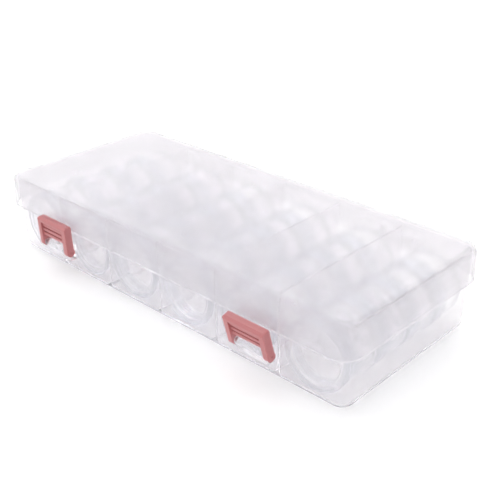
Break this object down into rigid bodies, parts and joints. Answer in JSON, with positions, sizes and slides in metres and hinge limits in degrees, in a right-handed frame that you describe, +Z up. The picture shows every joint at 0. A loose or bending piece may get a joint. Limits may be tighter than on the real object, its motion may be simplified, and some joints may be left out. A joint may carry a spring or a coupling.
{
  "type": "bead storage box",
  "caption": "Long low frosted plastic box with a deep hinged lid and snap latches, divided into columns that hold round screw-lid jars on their sides, for beads and small parts.",
  "frame": {"origin": "middle of the tray's flat underside", "axes": "+X along the length, -Y the front side with the latches, +Z up"},
  "size_m": [0.2824, 0.1385, 0.0525],
  "materials": {
    "frosted_case": "frosted translucent polypropylene, satin",
    "latch_pink": "coral pink moulded plastic, semi-gloss",
    "clear_jar": "clear glossy polystyrene",
    "clear_jar_lid": "clear glossy polystyrene"
  },
  "bodies": {
    "tray": {"base_tray": "frosted_case", "jar_1_1": "clear_jar", "jar_1_2": "clear_jar", "jar_1_3": "clear_jar", "jar_1_4": "clear_jar", "jar_2_1": "clear_jar", "jar_2_2": "clear_jar", "jar_2_3": "clear_jar", "jar_2_4": "clear_jar", "jar_3_1": "clear_jar", "jar_3_2": "clear_jar", "jar_3_3": "clear_jar", "jar_3_4": "clear_jar", "jar_4_1": "clear_jar", "jar_4_2": "clear_jar", "jar_4_3": "clear_jar", "jar_4_4": "clear_jar", "jar_5_1": "clear_jar", "jar_5_2": "clear_jar", "jar_5_3": "clear_jar", "jar_5_4": "clear_jar", "jar_6_1": "clear_jar", "jar_6_2": "clear_jar", "jar_6_3": "clear_jar", "jar_6_4": "clear_jar"},
    "lid": {"lid": "frosted_case"},
    "latch_left": {"latch_left": "latch_pink"},
    "latch_right": {"latch_right": "latch_pink"},
    "jar_lid_1_1": {"jar_lid_1_1": "clear_jar_lid"},
    "jar_lid_1_2": {"jar_lid_1_2": "clear_jar_lid"},
    "jar_lid_1_3": {"jar_lid_1_3": "clear_jar_lid"},
    "jar_lid_1_4": {"jar_lid_1_4": "clear_jar_lid"},
    "jar_lid_2_1": {"jar_lid_2_1": "clear_jar_lid"},
    "jar_lid_2_2": {"jar_lid_2_2": "clear_jar_lid"},
    "jar_lid_2_3": {"jar_lid_2_3": "clear_jar_lid"},
    "jar_lid_2_4": {"jar_lid_2_4": "clear_jar_lid"},
    "jar_lid_3_1": {"jar_lid_3_1": "clear_jar_lid"},
    "jar_lid_3_2": {"jar_lid_3_2": "clear_jar_lid"},
    "jar_lid_3_3": {"jar_lid_3_3": "clear_jar_lid"},
    "jar_lid_3_4": {"jar_lid_3_4": "clear_jar_lid"},
    "jar_lid_4_1": {"jar_lid_4_1": "clear_jar_lid"},
    "jar_lid_4_2": {"jar_lid_4_2": "clear_jar_lid"},
    "jar_lid_4_3": {"jar_lid_4_3": "clear_jar_lid"},
    "jar_lid_4_4": {"jar_lid_4_4": "clear_jar_lid"},
    "jar_lid_5_1": {"jar_lid_5_1": "clear_jar_lid"},
    "jar_lid_5_2": {"jar_lid_5_2": "clear_jar_lid"},
    "jar_lid_5_3": {"jar_lid_5_3": "clear_jar_lid"},
    "jar_lid_5_4": {"jar_lid_5_4": "clear_jar_lid"},
    "jar_lid_6_1": {"jar_lid_6_1": "clear_jar_lid"},
    "jar_lid_6_2": {"jar_lid_6_2": "clear_jar_lid"},
    "jar_lid_6_3": {"jar_lid_6_3": "clear_jar_lid"},
    "jar_lid_6_4": {"jar_lid_6_4": "clear_jar_lid"}
  },
  "joints": [
    {"name": "lid_hinge", "type": "hinge", "parent": "tray", "child": "lid", "pos_m": [0, 0.06485, 0.0334], "axis": [-1, 0, 0], "range_deg": [0, 180]},
    {"name": "left_latch_swing", "type": "hinge", "parent": "tray", "child": "latch_left", "pos_m": [-0.086, -0.06415, 0.0183], "axis": [1, 0, 0], "range_deg": [0, 115]},
    {"name": "right_latch_swing", "type": "hinge", "parent": "tray", "child": "latch_right", "pos_m": [0.0817, -0.06415, 0.0183], "axis": [1, 0, 0], "range_deg": [-12.6, 102.4]},
    {"name": "unscrew_1_1", "type": "hinge", "parent": "tray", "child": "jar_lid_1_1", "pos_m": [-0.11313, -0.0483, 0.0219], "axis": [0, -1, 0], "range_deg": [0, 270]},
    {"name": "unscrew_1_2", "type": "hinge", "parent": "tray", "child": "jar_lid_1_2", "pos_m": [-0.11392, -0.02155, 0.0219], "axis": [0, -1, 0], "range_deg": [0, 270]},
    {"name": "unscrew_1_3", "type": "hinge", "parent": "tray", "child": "jar_lid_1_3", "pos_m": [-0.11292, 0.0052, 0.0219], "axis": [0, -1, 0], "range_deg": [0, 270]},
    {"name": "unscrew_1_4", "type": "hinge", "parent": "tray", "child": "jar_lid_1_4", "pos_m": [-0.11353, 0.03195, 0.0219], "axis": [0, -1, 0], "range_deg": [0, 270]},
    {"name": "unscrew_2_1", "type": "hinge", "parent": "tray", "child": "jar_lid_2_1", "pos_m": [-0.067, -0.0483, 0.0219], "axis": [0, -1, 0], "range_deg": [0, 270]},
    {"name": "unscrew_2_2", "type": "hinge", "parent": "tray", "child": "jar_lid_2_2", "pos_m": [-0.0675, -0.02155, 0.0219], "axis": [0, -1, 0], "range_deg": [0, 270]},
    {"name": "unscrew_2_3", "type": "hinge", "parent": "tray", "child": "jar_lid_2_3", "pos_m": [-0.0683, 0.0052, 0.0219], "axis": [0, -1, 0], "range_deg": [0, 270]},
    {"name": "unscrew_2_4", "type": "hinge", "parent": "tray", "child": "jar_lid_2_4", "pos_m": [-0.0677, 0.03195, 0.0219], "axis": [0, -1, 0], "range_deg": [0, 270]},
    {"name": "unscrew_3_1", "type": "hinge", "parent": "tray", "child": "jar_lid_3_1", "pos_m": [-0.0246, -0.0483, 0.0219], "axis": [0, -1, 0], "range_deg": [0, 270]},
    {"name": "unscrew_3_2", "type": "hinge", "parent": "tray", "child": "jar_lid_3_2", "pos_m": [-0.0243, -0.02155, 0.0219], "axis": [0, -1, 0], "range_deg": [0, 270]},
    {"name": "unscrew_3_3", "type": "hinge", "parent": "tray", "child": "jar_lid_3_3", "pos_m": [-0.0235, 0.0052, 0.0219], "axis": [0, -1, 0], "range_deg": [0, 270]},
    {"name": "unscrew_3_4", "type": "hinge", "parent": "tray", "child": "jar_lid_3_4", "pos_m": [-0.0241, 0.03195, 0.0219], "axis": [0, -1, 0], "range_deg": [0, 270]},
    {"name": "unscrew_4_1", "type": "hinge", "parent": "tray", "child": "jar_lid_4_1", "pos_m": [0.0212, -0.0483, 0.0219], "axis": [0, -1, 0], "range_deg": [0, 270]},
    {"name": "unscrew_4_2", "type": "hinge", "parent": "tray", "child": "jar_lid_4_2", "pos_m": [0.0214, -0.02155, 0.0219], "axis": [0, -1, 0], "range_deg": [0, 270]},
    {"name": "unscrew_4_3", "type": "hinge", "parent": "tray", "child": "jar_lid_4_3", "pos_m": [0.0213, 0.0052, 0.0219], "axis": [0, -1, 0], "range_deg": [0, 270]},
    {"name": "unscrew_4_4", "type": "hinge", "parent": "tray", "child": "jar_lid_4_4", "pos_m": [0.0221, 0.03195, 0.0219], "axis": [0, -1, 0], "range_deg": [0, 270]},
    {"name": "unscrew_5_1", "type": "hinge", "parent": "tray", "child": "jar_lid_5_1", "pos_m": [0.0682, -0.0483, 0.0219], "axis": [0, -1, 0], "range_deg": [0, 270]},
    {"name": "unscrew_5_2", "type": "hinge", "parent": "tray", "child": "jar_lid_5_2", "pos_m": [0.069, -0.02155, 0.0219], "axis": [0, -1, 0], "range_deg": [0, 270]},
    {"name": "unscrew_5_3", "type": "hinge", "parent": "tray", "child": "jar_lid_5_3", "pos_m": [0.0685, 0.0052, 0.0219], "axis": [0, -1, 0], "range_deg": [0, 270]},
    {"name": "unscrew_5_4", "type": "hinge", "parent": "tray", "child": "jar_lid_5_4", "pos_m": [0.0693, 0.03195, 0.0219], "axis": [0, -1, 0], "range_deg": [0, 270]},
    {"name": "unscrew_6_1", "type": "hinge", "parent": "tray", "child": "jar_lid_6_1", "pos_m": [0.11432, -0.0483, 0.0219], "axis": [0, -1, 0], "range_deg": [0, 270]},
    {"name": "unscrew_6_2", "type": "hinge", "parent": "tray", "child": "jar_lid_6_2", "pos_m": [0.11392, -0.02155, 0.0219], "axis": [0, -1, 0], "range_deg": [0, 270]},
    {"name": "unscrew_6_3", "type": "hinge", "parent": "tray", "child": "jar_lid_6_3", "pos_m": [0.11353, 0.0052, 0.0219], "axis": [0, -1, 0], "range_deg": [0, 270]},
    {"name": "unscrew_6_4", "type": "hinge", "parent": "tray", "child": "jar_lid_6_4", "pos_m": [0.11383, 0.03195, 0.0219], "axis": [0, -1, 0], "range_deg": [0, 270]}
  ]
}
